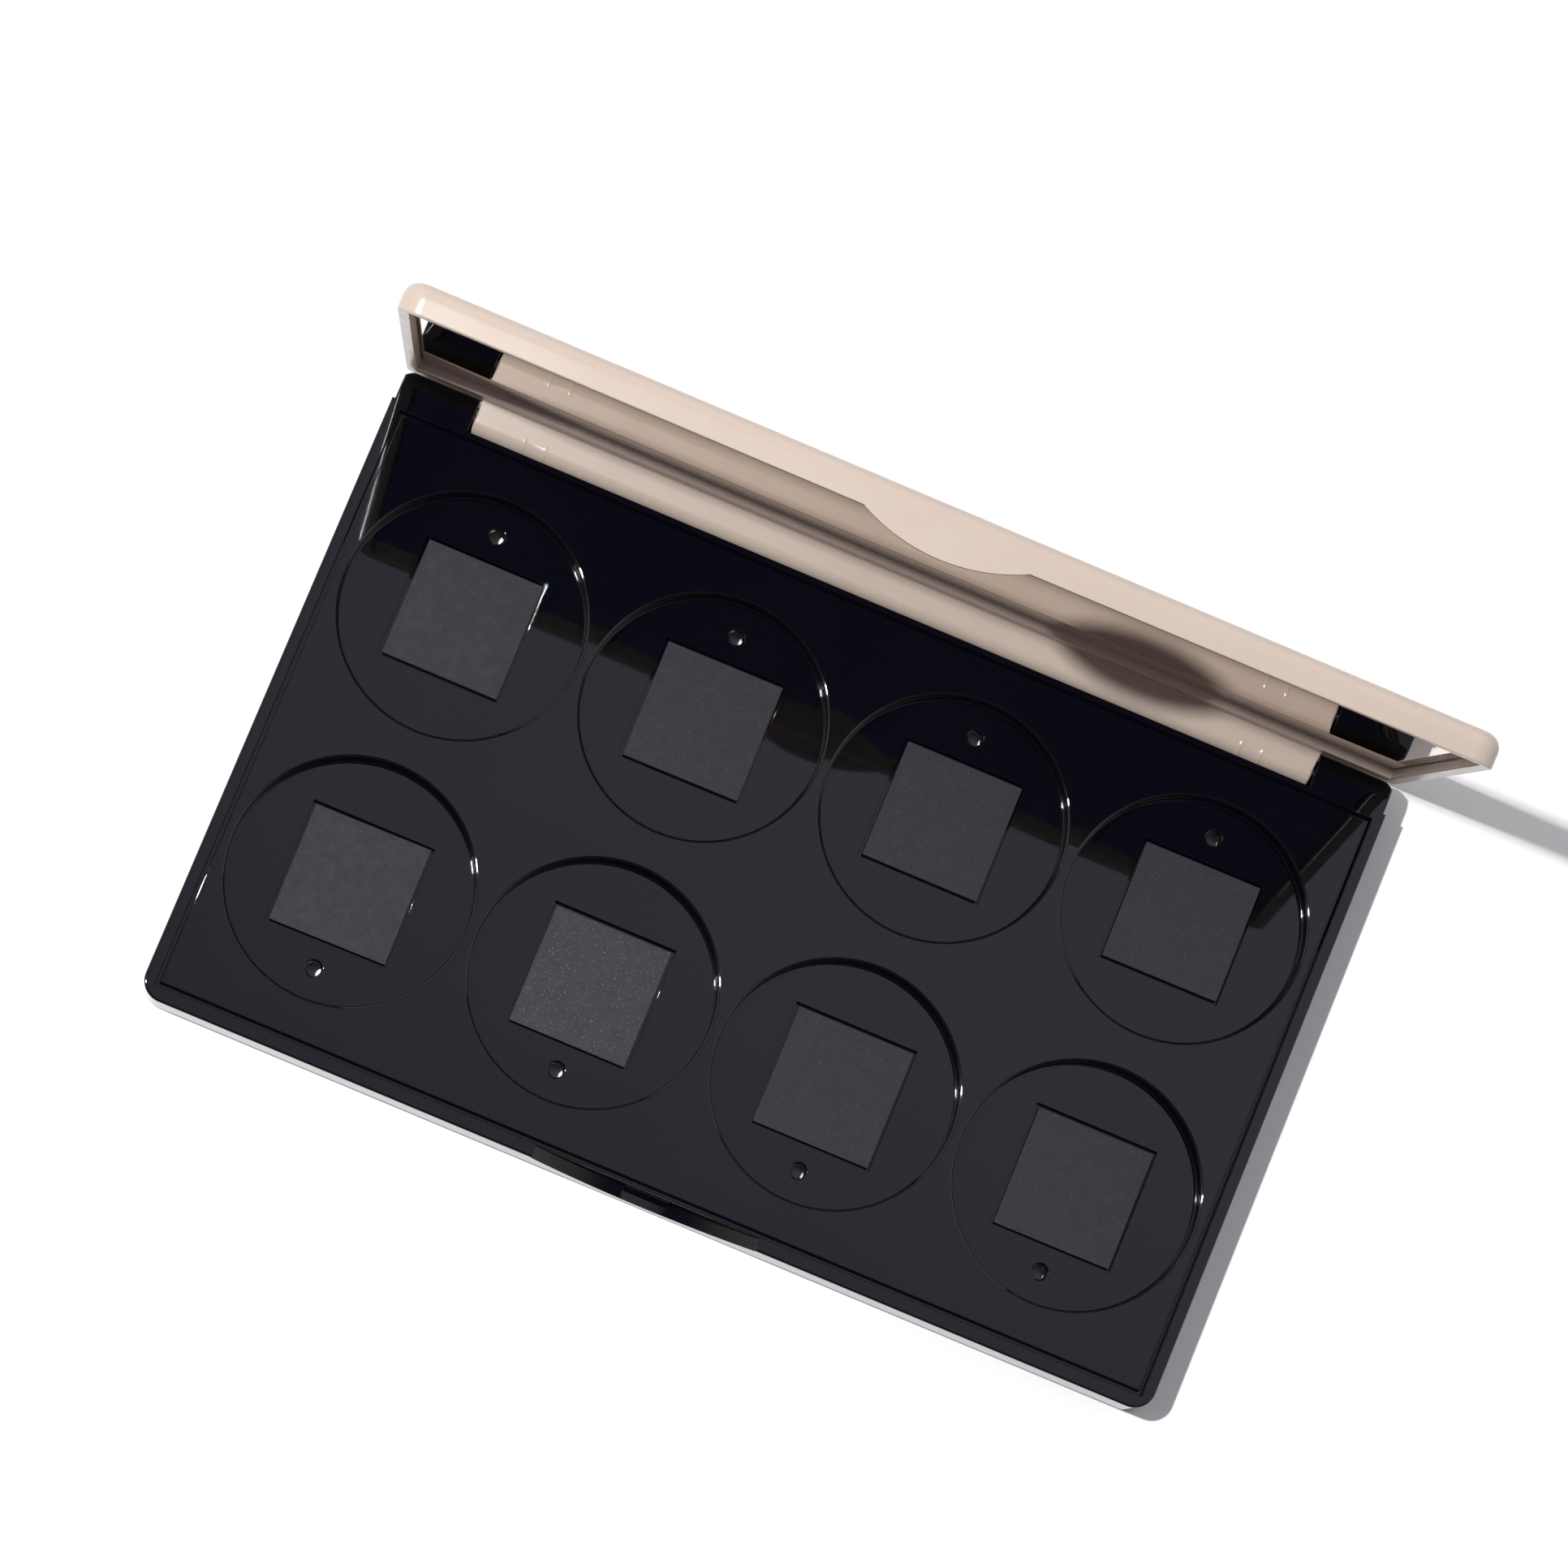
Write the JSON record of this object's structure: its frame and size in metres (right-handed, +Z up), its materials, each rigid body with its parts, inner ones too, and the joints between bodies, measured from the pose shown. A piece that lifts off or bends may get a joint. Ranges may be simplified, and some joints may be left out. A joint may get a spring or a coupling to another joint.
{
  "type": "eyeshadow palette",
  "caption": "Slim rectangular make-up palette with round magnetic wells for pans, a mirrored lid on a rear hinge and a thumb tab at the front.",
  "frame": {"origin": "middle of the base casing's flat underside", "axes": "+X to the right seen from the front, +Y from the thumb tab towards the hinge, +Z up"},
  "size_m": [0.1142, 0.0759, 0.0746],
  "materials": {
    "casing_black": "polished injection-moulded black plastic",
    "tray_black": "polished injection-moulded black plastic",
    "lid_nude": "satin-gloss moulded nude beige plastic",
    "mirror_glass": "silvered glass",
    "magnet_sheet": "fine sparkling grain of ferrite-filled rubber sheet",
    "pin_steel": "drawn steel wire",
    "adhesive_film": "translucent double-sided film"
  },
  "bodies": {
    "base": {"base_casing": "casing_black", "well_tray": "tray_black", "magnet_1": "magnet_sheet", "magnet_2": "magnet_sheet", "magnet_3": "magnet_sheet", "magnet_4": "magnet_sheet", "magnet_5": "magnet_sheet", "magnet_6": "magnet_sheet", "magnet_7": "magnet_sheet", "magnet_8": "magnet_sheet", "magnet_adhesive_1": "adhesive_film", "magnet_adhesive_2": "adhesive_film", "magnet_adhesive_3": "adhesive_film", "magnet_adhesive_4": "adhesive_film", "magnet_adhesive_5": "adhesive_film", "magnet_adhesive_6": "adhesive_film", "magnet_adhesive_7": "adhesive_film", "magnet_adhesive_8": "adhesive_film", "hinge_pin_left": "pin_steel", "hinge_pin_right": "pin_steel"},
    "lid": {"lid_shell": "lid_nude", "mirror": "mirror_glass", "mirror_adhesive": "adhesive_film"}
  },
  "joints": [
    {"name": "lid_hinge", "type": "hinge", "parent": "base", "child": "lid", "pos_m": [0, 0.03395, 0.0045], "axis": [1, 0, 0], "range_deg": [-17, 83]}
  ]
}
